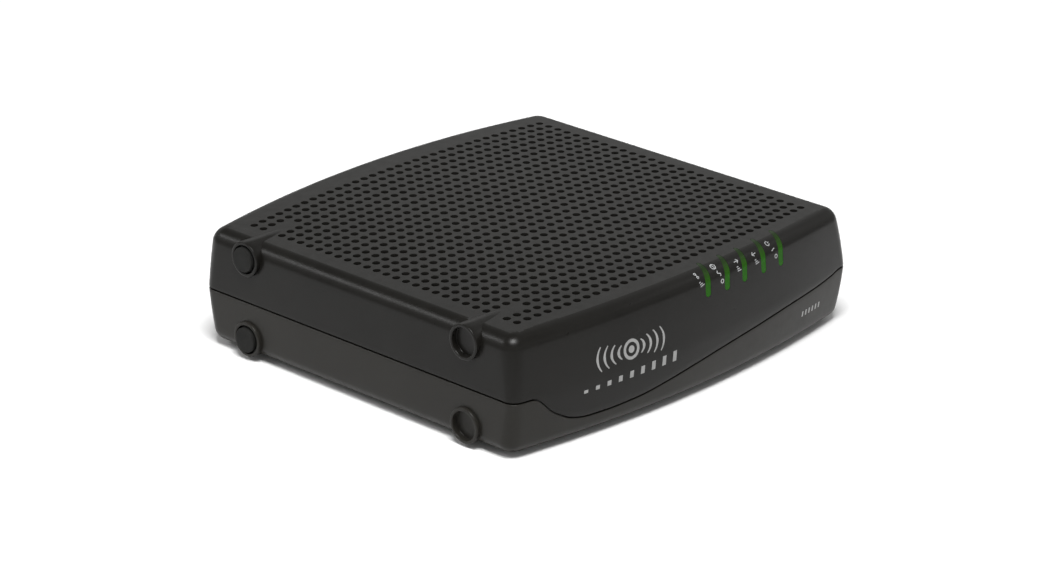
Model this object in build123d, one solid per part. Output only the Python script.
from build123d import *
import os
from math import sqrt, sin, cos, atan2, asin, pi, degrees

# Compact desktop cable modem. Millimetres, +Z up, +X to the right seen from the
# front, +Y to the rear. While modelling, z = 0 is the underside of the casing and
# X, Y are centred on the casing; ORIGIN_SHIFT then puts the origin under the middle
# of the whole box, at the level of the rubber feet.

os.makedirs("parts", exist_ok=True)

# ---------------------------------------------------------------- driving dimensions
HALF_W = 66.53          # half width of the casing at its seam
HALF_D = 64.43          # half depth at the middle of the bowed front and rear
BOW_R = 338.04          # plan radius of the bowed front and rear faces
SEAM_Z = 15.19          # parting line between lower and upper casing
TOP_Z = 33.25           # crown of the lid at the middle
CROWN = 0.89            # fall of the lid from the middle to CROWN_HALF_W
CROWN_HALF_W = 64.6
TOP_ROUND = 4.5         # rounding of the lid's edge
BOTTOM_ROUND = 3.7      # rounding of the base's edge
WALL = 2.0              # casing wall
CEILING = 30.7          # flat underside of the lid
SEAM_GAP = 0.44         # visible shadow groove at the parting line
DRAFT_UP = dict(L=0.74, R=1.22, F=1.39, B=0.59)     # inward lean at z = 27.8
DRAFT_DOWN = dict(L=0.42, R=0.58, F=1.42, B=0.93)   # inward lean at z = 3.8

HOLE_PITCH = 3.4        # vent grid
HOLE_D = 2.1
HOLE_COLS = 34
HOLE_ROWS = 28

SWOOSH = [(-54.8, 10.6), (-51.8, 8.5), (-47.9, 6.5), (-42.0, 5.4), (-35.2, 5.3),
          (-24.7, 5.7), (-13.7, 7.1), (-2.2, 8.9), (10.0, 10.6), (23.0, 11.9),
          (36.9, 13.1), (52.0, 13.95)]     # parting line across the front, x and z

BOSS_Y = 41.0           # the four round bosses on the left side
BOSS_Z = (4.7, 27.95)
BOSS_R = 4.95
BOSS_FACE_X = -67.3
POCKET_R = 4.0
POCKET_FLOOR_X = -65.5
PAD_R = 3.5
PAD_FACE_X = -68.0

WINDOW_X0 = 2.5         # five indicator windows over the front top edge
WINDOW_PITCH = 7.97
WINDOW_W = 1.95

FOOT_R = 4.0
FOOT_H = 1.2
FOOT_XY = (52.0, 50.0)

PCB_T = 1.6
PCB_Z = 7.4             # underside of the circuit board
BOARD_SCREW_XY = [(-48.0, -42.0), (48.0, -42.0), (-48.0, 42.0), (48.0, 42.0)]
COVER_SCREW_XY = [(-60.3, -49.5), (60.3, -49.5), (-60.3, 49.5), (60.3, 49.5)]

COAX_X, COAX_Z = -40.0, 15.5        # F connector, 3/8-32 thread
COAX_R = 4.76
COAX_PITCH_R = 4.6
COAX_TIP_Y = 72.6
JACK_X = -6.0                       # 8-way Ethernet jack
JACK_W, JACK_H, JACK_D = 16.0, 13.4, 18.0
JACK_FACE_Y = 64.0
POWER_X = 38.0                      # 5.5 / 2.1 power inlet
POWER_W, POWER_H, POWER_D = 9.4, 11.0, 14.2
POWER_FACE_Y = 62.2
RESET_X, RESET_Z = 15.0, 13.0       # recessed reset button
RESET_TRAVEL = 0.35

SHIFT = Vector(-(PAD_FACE_X + HALF_W) / 2, -(COAX_TIP_Y - HALF_D) / 2, FOOT_H)
PCB_TOP = PCB_Z + PCB_T


# ---------------------------------------------------------------- helpers
def bx(x0, x1, y0, y1, z0, z1):
    return Pos((x0 + x1) / 2, (y0 + y1) / 2, (z0 + z1) / 2) * Box(x1 - x0, y1 - y0, z1 - z0)


def cz(x, y, z0, z1, r):
    return Pos(x, y, (z0 + z1) / 2) * Cylinder(r, z1 - z0)


def cy(x, z, y0, y1, r):
    return Pos(x, (y0 + y1) / 2, z) * Rot(90, 0, 0) * Cylinder(r, y1 - y0)


def cx(y, z, x0, x1, r):
    return Pos((x0 + x1) / 2, y, z) * Rot(0, 90, 0) * Cylinder(r, x1 - x0)


def solids_of(shape):
    return list(shape.solids())


def save(name, *shapes):
    found = [s for sh in shapes for s in solids_of(sh)]
    moved = [s.moved(Location(SHIFT)) for s in found]
    part = moved[0] if len(moved) == 1 else Compound(moved)
    export_step(part, f"parts/{name}.step")
    print(f"{name}: {len(moved)} solid(s), {sum(s.volume for s in moved):.1f} mm3")


def lean(z):
    """How far each wall leans in at height z."""
    if z >= SEAM_Z:
        f, d = (z - SEAM_Z) / 12.6, DRAFT_UP
    else:
        f, d = (SEAM_Z - z) / 11.4, DRAFT_DOWN
    g = 0.55 * f + 0.45 * f * f
    return {k: v * g for k, v in d.items()}, f


def outline(z, inset):
    """Plan outline of the casing at height z, moved in by inset: eight edges."""
    d, f = lean(z)
    rc = 3.4 + (1.5 if z >= SEAM_Z else 0.9) * f
    rc = max(rc - inset * 0.8, 1.0)
    left, right = HALF_W - d["L"] - inset, HALF_W - d["R"] - inset
    centre = BOW_R - HALF_D

    def corner(h, lean_in):
        big = BOW_R - lean_in - inset
        xc = h - rc
        yc = centre - sqrt((big - rc) ** 2 - xc ** 2)
        a = atan2(xc, centre - yc)
        m = (a + pi / 2) / 2
        return ((big * sin(a), centre - big * cos(a)),
                (xc + rc * sin(m), yc - rc * cos(m)), (h, yc), big)

    fr, fl = corner(right, d["F"]), corner(left, d["F"])
    br, bl = corner(right, d["B"]), corner(left, d["B"])

    def p(q, sx=1, sy=1):
        return (q[0] * sx, q[1] * sy, z)

    edges = [
        Edge.make_three_point_arc(p(fl[0], -1), (0, -(HALF_D - d["F"] - inset), z), p(fr[0])),
        Edge.make_three_point_arc(p(fr[0]), p(fr[1]), p(fr[2])),
        Edge.make_line(p(fr[2]), p(br[2], 1, -1)),
        Edge.make_three_point_arc(p(br[2], 1, -1), p(br[1], 1, -1), p(br[0], 1, -1)),
        Edge.make_three_point_arc(p(br[0], 1, -1), (0, HALF_D - d["B"] - inset, z), p(bl[0], -1, -1)),
        Edge.make_three_point_arc(p(bl[0], -1, -1), p(bl[1], -1, -1), p(bl[2], -1, -1)),
        Edge.make_line(p(bl[2], -1, -1), p(fl[2], -1)),
        Edge.make_three_point_arc(p(fl[2], -1), p(fl[1], -1), p(fl[0], -1)),
    ]
    return Wire(edges)


def under_crown(drop):
    """Everything under the lid's crowned surface, lowered by drop."""
    r = (CROWN_HALF_W ** 2 + CROWN ** 2) / (2 * CROWN)

    def z(x):
        return TOP_Z - drop - (r - sqrt(r * r - x * x))

    with BuildPart() as b:
        with BuildSketch(Plane.XZ):
            with BuildLine():
                Line((-90, z(90)), (-90, -20))
                Line((-90, -20), (90, -20))
                Line((90, -20), (90, z(90)))
                ThreePointArc((90, z(90)), (0, z(0)), (-90, z(90)))
            make_face()
        extrude(amount=100, both=True)
    return b.part


def envelope(inset, bottom, drop, r_top, r_bottom, ceiling=None):
    """The casing's shape moved in by inset. The top follows the crown, lowered by
    drop, or is flat at the height ceiling."""
    zs = [bottom, 4.5, 9.5, SEAM_Z, 21.5, 27.8, 34.2]
    body = Solid.make_loft([outline(z, inset) for z in zs], False)
    body = (Part() + body) & (under_crown(drop) if ceiling is None else bx(-90, 90, -90, 90, -5, ceiling))
    body = body.solids()[0]
    if r_top:
        top = body.faces().sort_by(Axis.Z)[-1]
        body = body.fillet(r_top, top.edges())
    if r_bottom:
        low = body.faces().sort_by(Axis.Z)[0]
        body = body.fillet(r_bottom, low.edges())
    return Part() + body


def above(shift, front_to=-53.6):
    """Everything above the parting surface: flat at the sides and rear, and the
    long S-curve across the front."""
    z0 = SEAM_Z + shift
    with BuildPart() as b:
        with BuildSketch(Plane.XZ.offset(-front_to)):
            with BuildLine():
                pts = [(-60.6, z0)] + [(x, z + shift) for x, z in SWOOSH] + [(62.0, z0)]
                Spline(*pts, tangents=[(1, -0.15), (1, 0.1)])
                Line((62.0, z0), (62.0, z0 + 2))
                Line((62.0, z0 + 2), (-60.6, z0 + 2))
                Line((-60.6, z0 + 2), (-60.6, z0))
            make_face()
        extrude(amount=30)
    return b.part + bx(-90, 90, -90, 90, z0, 60)


def vent_centres():
    out = []
    for i in range(HOLE_COLS):
        x = (i - (HOLE_COLS - 1) / 2) * HOLE_PITCH
        for j in range(HOLE_ROWS):
            v = j - (HOLE_ROWS - 1) / 2
            if abs(abs(v) - 11.5) < 0.1 and i < 3:
                continue                      # the ridge from each side boss
            y = -3.566 * v - 0.3006 * v * (1 - (x / CROWN_HALF_W) ** 2) - 0.24
            out.append((x, y))
    return out


def leaf(width, grow=0.0):
    """One indicator window: a leaf-shaped prism that crosses the front top edge
    on the diagonal."""
    a, b = -26.5 - grow, -16.3 + grow       # lower and upper tips along (0, 1, 1)
    mid, w = (a + b) / 2, width / 2
    plane = Plane(origin=(0, 0, 0), x_dir=(1, 0, 0), z_dir=(0, -1, 1))
    with BuildPart() as p:
        with BuildSketch(plane):
            with BuildLine():
                Spline((0, a), (w * 0.75, a + 1.6), (w, mid), (w * 0.7, b - 2.2), (0, b),
                       tangents=[(1, 0.9), (-0.5, 1)])
                Spline((0, b), (-w * 0.7, b - 2.2), (-w, mid), (-w * 0.75, a + 1.6), (0, a),
                       tangents=[(-0.5, -1), (1, -0.9)])
            make_face()
        extrude(amount=80)
    return p.part


def around(shape, x):
    """Carry a shape built at x = 0 round the bowed front to x."""
    c = BOW_R - HALF_D
    ang = degrees(asin(x / BOW_R))
    return Pos(0, c, 0) * Rot(0, 0, ang) * Pos(0, -c, 0) * shape


def pan_screw(x, y, seat, head_r, head_h, shank_r, length, up=True):
    """A pan-head screw with a cross recess. up: the shank points up."""
    s = 1 if up else -1
    head = cz(x, y, min(seat, seat - s * head_h), max(seat, seat - s * head_h), head_r)
    outer = head.faces().sort_by(Axis.Z)[0 if up else -1]
    head = fillet(outer.edges(), head_h * 0.45)
    shank = cz(x, y, min(seat, seat + s * length), max(seat, seat + s * length), shank_r)
    tip = shank.faces().sort_by(Axis.Z)[-1 if up else 0]
    shank = chamfer(tip.edges(), shank_r * 0.5)
    screw = head + shank
    end = seat - s * head_h
    lo, hi = sorted((end - s * 0.2, end + s * head_h * 0.62))
    w = head_r * 0.13
    screw -= bx(x - head_r * 0.58, x + head_r * 0.58, y - w, y + w, lo, hi)
    screw -= bx(x - w, x + w, y - head_r * 0.58, y + head_r * 0.58, lo, hi)
    return screw


def chip(x, y, w, d, h, z=None, edge=0.15):
    z = PCB_TOP if z is None else z
    b = bx(x - w / 2, x + w / 2, y - d / 2, y + d / 2, z, z + h)
    return chamfer(b.faces().sort_by(Axis.Z)[-1].edges(), edge)


# ---------------------------------------------------------------- casing
outer = envelope(0, 0, 0, TOP_ROUND, BOTTOM_ROUND)
inner = envelope(WALL, WALL, WALL, TOP_ROUND - 2.2, BOTTOM_ROUND - 2.0, CEILING)
half_skin = envelope(0.95, 0.95, 0.95, TOP_ROUND - 0.8, BOTTOM_ROUND - 0.8)
lip_skin = envelope(1.05, 1.05, 1.05, TOP_ROUND - 0.9, BOTTOM_ROUND - 0.9)

# the four side bosses, each a ring with a ridge that runs inboard and fades out
bosses = []
for yb in (-BOSS_Y, BOSS_Y):
    for zb in BOSS_Z:
        bosses.append(Pos(-57.0, yb, zb) * Rot(0, 90, 0) * Cone(BOSS_R - 0.04, BOSS_R - 0.42, 2 * (57.0 - 47.0)))
        bosses.append(cx(yb, zb, BOSS_FACE_X, -64.6, BOSS_R))

ups = above(SEAM_GAP / 2)
downs = above(-SEAM_GAP / 2)
cavity = Part() + inner
pockets = [cx(yb, zb, BOSS_FACE_X - 1, POCKET_FLOOR_X, POCKET_R) for yb in (-BOSS_Y, BOSS_Y) for zb in BOSS_Z]

# rear window for the connector panel
PANEL_X0, PANEL_X1, PANEL_Z0, PANEL_Z1 = -52.0, 48.0, 5.6, 27.0
rear_window = bx(PANEL_X0 - 0.15, PANEL_X1 + 0.15, 50, 70, PANEL_Z0 - 0.15, PANEL_Z1 + 0.15)

shell = outer + bosses - cavity
# the bosses keep a floor behind each pocket
for yb in (-BOSS_Y, BOSS_Y):
    for zb in BOSS_Z:
        shell += cx(yb, zb, -65.2, -63.4, POCKET_R + 0.5) & outer
shell = shell - pockets - rear_window

# lid: upper part of the shell, with a rebate for the base's lip
rebate = half_skin & (ups - above(1.8))
top = (shell & ups) - rebate
for x, y in COVER_SCREW_XY:
    top += cz(x, y, 13.6, CEILING + 0.4, 2.9) & (outer & bx(-80, 80, -80, 80, 13.4, 31.6))
    top -= cz(x, y, 13.0, 26.0, 1.25)
top = top - [around(leaf(WINDOW_W + 0.12, 0.06), WINDOW_X0 + k * WINDOW_PITCH) & bx(-5, 60, -70, -50, 22, 40)
             for k in range(5)]
top = Part() + sorted(top.solids(), key=lambda s: -s.volume)[0]
top = top - [cz(x, y, CEILING - 1.0, 36.0, HOLE_D / 2) for x, y in vent_centres()]
top = Part() + sorted(top.solids(), key=lambda s: -s.volume)[0]
save("top_cover", top)

# base: lower part of the shell, with the lip, posts, screw tubes and floor slots
lip = (lip_skin - cavity) & (above(-0.9) - above(1.5)) - rear_window
base = (shell - downs) + lip
for x, y in BOARD_SCREW_XY:
    base += cz(x, y, WALL - 0.2, PCB_Z, 3.0)
    base -= cz(x, y, 3.0, PCB_Z + 1, 1.1)
for x, y in COVER_SCREW_XY:
    base += cz(x, y, 1.0, 13.2, 3.4) & (outer & bx(-80, 80, -80, 80, 0.9, 13.3))
    base -= cz(x, y, -1.0, 9.5, 2.85)
    base -= cz(x, y, 9.0, 14.0, 1.6)
SLOT_X = [-36 + 6 * i for i in range(13)]
slots = []
for x in SLOT_X:
    for y in (-32.0, 32.0):
        slots.append(bx(x - 1.2, x + 1.2, y - 9, y + 9, -1, 3) + cz(x, y - 9, -1, 3, 1.2) + cz(x, y + 9, -1, 3, 1.2))
base = base - slots
foot_at = [(sx * FOOT_XY[0], sy * FOOT_XY[1]) for sx in (-1, 1) for sy in (-1, 1)]
base = base - [cz(x, y, -1, 0.3, FOOT_R + 0.15) for x, y in foot_at]
LABEL = (34.0, 13.0)
base = base - bx(-LABEL[0] - 0.3, LABEL[0] + 0.3, -LABEL[1] - 0.3, LABEL[1] + 0.3, -1, 0.25)
base = Part() + sorted(base.solids(), key=lambda s: -s.volume)[0]
save("bottom_cover", base)

# connector panel: a plate that fills the rear window and a flange behind the wall
def skin(a, b):
    return envelope(a, 1.0, a, 0, 0) - envelope(b, 0.5, b, 0, 0)

panel = skin(0.6, 3.3) & bx(PANEL_X0, PANEL_X1, 50, 70, PANEL_Z0, PANEL_Z1)
panel += skin(2.12, 3.3) & bx(PANEL_X0 - 1.6, PANEL_X1 + 1.6, 50, 70, PANEL_Z0 - 1.4, PANEL_Z1 + 1.6)
panel += cy(COAX_X, COAX_Z, 59.4, 62.4, 8.3)
panel -= cy(COAX_X, COAX_Z, 50.0, 59.4, 8.3)
panel -= cy(COAX_X, COAX_Z, 50.0, 70.0, COAX_R + 0.2)
panel -= bx(JACK_X - JACK_W / 2 - 0.25, JACK_X + JACK_W / 2 + 0.25, 50, 70, PCB_TOP - 0.1, PCB_TOP + JACK_H + 0.25)
panel -= bx(POWER_X - POWER_W / 2 - 0.25, POWER_X + POWER_W / 2 + 0.25, 50, 70, PCB_TOP - 0.1, PCB_TOP + POWER_H + 0.25)
panel -= cy(RESET_X, RESET_Z, 50.0, 70.0, 1.2)
panel = Part() + sorted(panel.solids(), key=lambda s: -s.volume)[0]
save("rear_panel", panel)

# light pipe: five windows joined by a strip behind the lid's front edge, with a
# leg from each window down to its indicator
strip = (envelope(2.15, 1.2, 2.15, 2.3, 0, CEILING - 0.15) - envelope(3.5, 1.4, 3.5, 1.6, 0, CEILING - 1.5)) & bx(0.0, 37.6, -66, -54.4, 24.6, 31.4)
pipe = Part() + strip
room = envelope(2.3, 2.3, 2.3, 2.2, 0, CEILING - 0.3)
outside = Part() + outer
for k in range(5):
    xk = WINDOW_X0 + k * WINDOW_PITCH
    prism = around(leaf(WINDOW_W, 0.0), xk) & bx(xk - 4, xk + 4, -70, -50, 22, 40)
    pipe += (prism & outside) - envelope(3.0, 1.4, 3.0, 1.8, 0, CEILING - 1.0)
    pipe += bx(xk - 1.1, xk + 1.1, -58.2, -54.6, PCB_TOP + 1.0, 31.0) & room
pipe = Part() + sorted(pipe.solids(), key=lambda s: -s.volume)[0]
save("light_pipe", pipe)

# pads in the two rear bosses, rubber feet, blank rating label
pads = []
for zb in BOSS_Z:
    pad = cx(BOSS_Y, zb, PAD_FACE_X, POCKET_FLOOR_X - 0.05, PAD_R)
    pads.append(fillet(pad.faces().sort_by(Axis.X)[0].edges(), 0.3))
save("side_pads", *pads)
feet = []
for x, y in foot_at:
    f = cz(x, y, -FOOT_H, 0.28, FOOT_R)
    feet.append(fillet(f.faces().sort_by(Axis.Z)[0].edges(), 0.4))
save("rubber_feet", *feet)
save("rating_label", bx(-LABEL[0], LABEL[0], -LABEL[1], LABEL[1], 0.0, 0.22))

# fasteners
save("cover_screws", *[pan_screw(x, y, 9.45, 2.6, 1.9, 1.2, 12.0) for x, y in COVER_SCREW_XY])
save("board_screws", *[pan_screw(x, y, PCB_TOP + 0.02, 2.4, 1.6, 1.05, 5.6, up=False) for x, y in BOARD_SCREW_XY])

# ---------------------------------------------------------------- circuit board
board = bx(-55.5, 55.5, -70, 56.4, PCB_Z, PCB_TOP) & envelope(3.4, 1.0, 3.4, 0, 0)
board = board - [cz(x, y, 0, 20, 1.4) for x, y in BOARD_SCREW_XY]
board = Part() + board.solids()[0]
save("main_board", board)

save("modem_chip", chip(12.0, -4.0, 27.0, 27.0, 2.2))
save("thermal_pad", bx(-1.0, 25.0, -17.0, 9.0, PCB_TOP + 2.2, PCB_TOP + 3.0))
SINK_Z = PCB_TOP + 3.0
sink = bx(-9.0, 33.0, -25.0, 17.0, SINK_Z, SINK_Z + 2.5)
for i in range(11):
    y = -24.4 + i * 4.08
    sink += bx(-9.0, 33.0, y, y + 1.2, SINK_Z + 2.4, SINK_Z + 12.0)
for x in (4.0, 18.5):
    sink -= bx(x, x + 1.5, -26, 18, SINK_Z + 2.5, SINK_Z + 13.0)
save("heat_sink", sink)

save("memory_chip", chip(40.0, -8.0, 9.0, 13.0, 1.2))
save("flash_chip", chip(-20.0, -22.0, 8.0, 5.3, 1.8))
save("ethernet_magnetics", chip(JACK_X, 33.5, 16.0, 9.0, 5.4, edge=0.3))
save("tuner_chip", chip(-41.0, 20.0, 9.0, 9.0, 0.9))
save("power_regulators", *[chip(x, y, 6.5, 6.1, 2.3) for x, y in ((48.0, 10.0), (38.0, 10.5))])
save("power_inductors", *[chip(x, y, 7.3, 7.3, 4.0, edge=0.6) for x, y in ((47.5, 20.5), (27.0, 24.5))])
caps = []
for x, y, r, h in ((37.0, 36.5, 5.0, 12.5), (50.0, 31.0, 4.0, 11.5), (38.0, 22.5, 4.0, 11.5), (-20.0, -38.0, 3.15, 7.7)):
    can = cz(x, y, PCB_TOP, PCB_TOP + h, r)
    can = fillet(can.edges().sort_by(Axis.Z)[-1], 0.7)
    groove = cz(x, y, PCB_TOP + 1.3, PCB_TOP + 1.9, r + 1) - cz(x, y, PCB_TOP + 1.2, PCB_TOP + 2.0, r - 0.35)
    caps.append(can - groove)
save("electrolytic_capacitors", *caps)

save("status_leds", *[chip(WINDOW_X0 + k * WINDOW_PITCH, -56.4, 1.6, 0.9, 0.7, edge=0.1) for k in range(5)])
xtal = bx(-27.0, -20.0, -9.5, -5.2, PCB_TOP, PCB_TOP + 3.4)
xtal = fillet(xtal.edges().filter_by(Axis.Z), 2.1)
xtal = fillet(xtal.faces().sort_by(Axis.Z)[-1].edges(), 0.4)
save("clock_crystal", xtal)
small = []
for i, (x, y) in enumerate([(-12.5 + 3.1 * j, -30.5) for j in range(12)] + [(-12.5 + 3.1 * j, -34.0) for j in range(12)]
                           + [(-14.5, -20 + 3.3 * j) for j in range(11)] + [(51.5, -20 + 3.3 * j) for j in range(7)]
                           + [(2.5 + 7.97 * k, -52.0) for k in range(5)]):
    small.append(bx(x - 0.8, x + 0.8, y - 0.4, y + 0.4, PCB_TOP, PCB_TOP + 0.5 + 0.3 * (i % 2)))
save("chip_passives", *small)

# tuner shield: a folded frame with a clip-on lid
SX0, SX1, SY0, SY1 = -53.5, -26.5, 4.0, 36.0
frame = bx(SX0, SX1, SY0, SY1, PCB_TOP, PCB_TOP + 6.6) - bx(SX0 + 0.4, SX1 - 0.4, SY0 + 0.4, SY1 - 0.4, PCB_TOP - 1, PCB_TOP + 8)
frame += bx(SX0 + 0.2, SX1 - 0.2, 19.6, 20.4, PCB_TOP + 1.6, PCB_TOP + 6.6)
save("tuner_shield_frame", frame)
lid = bx(SX0 - 0.45, SX1 + 0.45, SY0 - 0.45, SY1 + 0.45, PCB_TOP + 2.6, PCB_TOP + 7.05)
lid = fillet(lid.edges().filter_by(Axis.Z), 0.5)
lid -= bx(SX0 - 0.05, SX1 + 0.05, SY0 - 0.05, SY1 + 0.05, PCB_TOP + 2, PCB_TOP + 6.65)
for i in range(5):
    for x in (SX0 - 1, SX1 + 1):
        lid -= bx(x - 1.2, x + 1.2, SY0 + 5.6 + i * 5.2 - 0.3, SY0 + 5.6 + i * 5.2 + 0.3, PCB_TOP + 2, PCB_TOP + 5.2)
for i in range(3):
    for j in range(4):
        lid -= cz(SX0 + 6.5 + 7 * i, SY0 + 5.5 + 7 * j, PCB_TOP + 5, PCB_TOP + 9, 0.8)
save("tuner_shield_lid", lid)

# ---------------------------------------------------------------- coax connector
block = bx(COAX_X - 6.0, COAX_X + 6.0, 44.0, 56.6, PCB_TOP, PCB_TOP + 12.6)
block = fillet(block.edges().filter_by(Axis.Y), 1.2)
block += cy(COAX_X, COAX_Z, 56.0, 59.35, 6.4)
# free thread at its outer radius; under the nut it is drawn at the pitch radius
THREAD_Y = 66.2
barrel = cy(COAX_X, COAX_Z, THREAD_Y, COAX_TIP_Y, COAX_R)
barrel = chamfer(barrel.faces().sort_by(Axis.Y)[-1].edges(), 0.6)
barrel += cy(COAX_X, COAX_Z, 59.0, THREAD_Y + 0.1, COAX_PITCH_R)
coax = block + barrel - cy(COAX_X, COAX_Z, 50.0, 80.0, 3.3)
save("coax_connector_body", coax)
ins = cy(COAX_X, COAX_Z, 50.0, COAX_TIP_Y - 0.7, 3.28) - cy(COAX_X, COAX_Z, 49.0, COAX_TIP_Y, 1.15)
save("coax_insulator", ins)
con = cy(COAX_X, COAX_Z, 50.5, COAX_TIP_Y - 2.0, 1.1) - cy(COAX_X, COAX_Z, 60.0, COAX_TIP_Y, 0.55)
save("coax_contact", con)
washer = cy(COAX_X, COAX_Z, 62.42, 63.1, 7.4) - cy(COAX_X, COAX_Z, 60, 65, COAX_R + 0.1)
for i in range(12):
    a = i * pi / 6
    washer -= Pos(COAX_X, 62.7, COAX_Z) * Rot(0, degrees(a), 0) * Pos(7.2, 0, 0) * Box(1.2, 2, 0.9)
save("coax_washer", washer)
nut = Pos(COAX_X, 63.12, COAX_Z) * Rot(-90, 0, 0) * extrude(RegularPolygon(5.55, 6, major_radius=False), 2.6)
nut = nut & Pos(COAX_X, 64.42, COAX_Z) * Rot(90, 0, 0) * (Cylinder(6.25, 2.8))
nut -= cy(COAX_X, COAX_Z, 60, 70, COAX_PITCH_R + 0.02)
save("coax_nut", nut)

# ---------------------------------------------------------------- Ethernet jack
JZ0 = PCB_TOP
JY0 = JACK_FACE_Y - JACK_D
body = bx(JACK_X - JACK_W / 2 + 0.3, JACK_X + JACK_W / 2 - 0.3, JY0 + 0.3, JACK_FACE_Y - 0.25, JZ0, JZ0 + JACK_H - 0.3)
CAV_Z0, CAV_Z1 = JZ0 + 3.2, JZ0 + 10.2
body -= bx(JACK_X - 5.9, JACK_X + 5.9, JACK_FACE_Y - 13.0, JACK_FACE_Y + 1, CAV_Z0, CAV_Z1)
body -= bx(JACK_X - 3.2, JACK_X + 3.2, JACK_FACE_Y - 13.0, JACK_FACE_Y + 1, CAV_Z0 - 1.5, CAV_Z0 + 1)
body -= bx(JACK_X - 2.0, JACK_X + 2.0, JACK_FACE_Y - 13.0, JACK_FACE_Y + 1, CAV_Z0 - 2.6, CAV_Z0 + 1)
for i in range(8):
    x = JACK_X - 3.57 + 1.02 * i
    body -= bx(x - 0.27, x + 0.27, JACK_FACE_Y - 14.2, JACK_FACE_Y - 4.0, CAV_Z1 - 0.5, CAV_Z1 + 1.25)
save("ethernet_jack_housing", body)
shield = bx(JACK_X - JACK_W / 2, JACK_X + JACK_W / 2, JY0, JACK_FACE_Y, JZ0, JZ0 + JACK_H)
shield -= bx(JACK_X - JACK_W / 2 + 0.28, JACK_X + JACK_W / 2 - 0.28, JY0 + 0.28, JACK_FACE_Y + 1, JZ0 - 1, JZ0 + JACK_H - 0.28)
save("ethernet_jack_shield", shield)
wires = []
for i in range(8):
    x = JACK_X - 3.57 + 1.02 * i
    y1, y0 = JACK_FACE_Y - 4.4, JACK_FACE_Y - 12.2
    with BuildPart() as w:
        with BuildSketch(Plane.YZ.offset(x - 0.2)):
            Polygon((y0 - 1.6, CAV_Z1 + 1.0), (y1, CAV_Z1 + 1.0), (y1, CAV_Z1 + 0.5), (y0 + 0.4, CAV_Z1 - 2.6),
                    (y0, CAV_Z1 - 2.4), (y1 - 0.52, CAV_Z1 + 0.65), (y0 - 1.6, CAV_Z1 + 0.65), align=None)
        extrude(amount=0.4)
    wires.append(w.part)
save("ethernet_contacts", *wires)

# ---------------------------------------------------------------- power inlet
PZ = PCB_TOP + 6.2
hous = bx(POWER_X - POWER_W / 2, POWER_X + POWER_W / 2, POWER_FACE_Y - POWER_D, POWER_FACE_Y, PCB_TOP, PCB_TOP + POWER_H)
hous = fillet(hous.edges().filter_by(Axis.Y).sort_by(Axis.Z)[-2:], 1.2)
hous -= cy(POWER_X, PZ, POWER_FACE_Y - 10.2, POWER_FACE_Y + 1, 3.15)
hous -= bx(POWER_X - 0.9, POWER_X + 0.9, POWER_FACE_Y - 9.0, POWER_FACE_Y - 2.0, PZ - 4.3, PZ - 2.0)
hous -= cy(POWER_X, PZ, POWER_FACE_Y - 13.0, POWER_FACE_Y - 9.0, 0.67)
save("power_jack_housing", hous)
pin = cy(POWER_X, PZ, POWER_FACE_Y - 10.1, POWER_FACE_Y - 0.9, 1.0)
pin = fillet(pin.faces().sort_by(Axis.Y)[-1].edges(), 0.6)
pin += cy(POWER_X, PZ, POWER_FACE_Y - 12.9, POWER_FACE_Y - 10.0, 0.65)
save("power_jack_pin", pin)
with BuildPart() as sp:
    with BuildSketch(Plane.YZ.offset(POWER_X - 0.8)):
        y0, y1 = POWER_FACE_Y - 8.9, POWER_FACE_Y - 2.2
        Polygon((y0, PZ - 4.2), (y1, PZ - 4.2), (y1, PZ - 3.9), (y1 - 0.5, PZ - 3.8), ((y0 + y1) / 2 + 0.6, PZ - 2.7),
                ((y0 + y1) / 2 - 0.2, PZ - 2.7), (y0 + 0.6, PZ - 3.9), (y0, PZ - 3.9), align=None)
    extrude(amount=1.6)
save("power_jack_spring", sp.part)

# ---------------------------------------------------------------- reset button
SW_Y0, SW_Y1 = 52.2, 56.0
sw = bx(RESET_X - 3.2, RESET_X + 3.2, SW_Y0, SW_Y1, PCB_TOP, PCB_TOP + 7.0)
sw = chamfer(sw.edges().filter_by(Axis.Y), 0.3)
sw -= cy(RESET_X, RESET_Z, SW_Y0 + 1.0, SW_Y1 + 1, 1.75)
save("reset_switch_body", sw)
keeper = cy(RESET_X, RESET_Z, SW_Y1 + 0.02, SW_Y1 + 0.5, 3.0) - cy(RESET_X, RESET_Z, SW_Y1 - 1, SW_Y1 + 1, 1.3)
save("reset_switch_cap", keeper)
plunger = cy(RESET_X, RESET_Z, SW_Y0 + 1.6, SW_Y1 - 0.1, 1.6) + cy(RESET_X, RESET_Z, SW_Y1 - 0.3, 60.2, 1.1)
plunger = fillet(plunger.faces().sort_by(Axis.Y)[-1].edges(), 0.3)
save("reset_plunger", plunger)
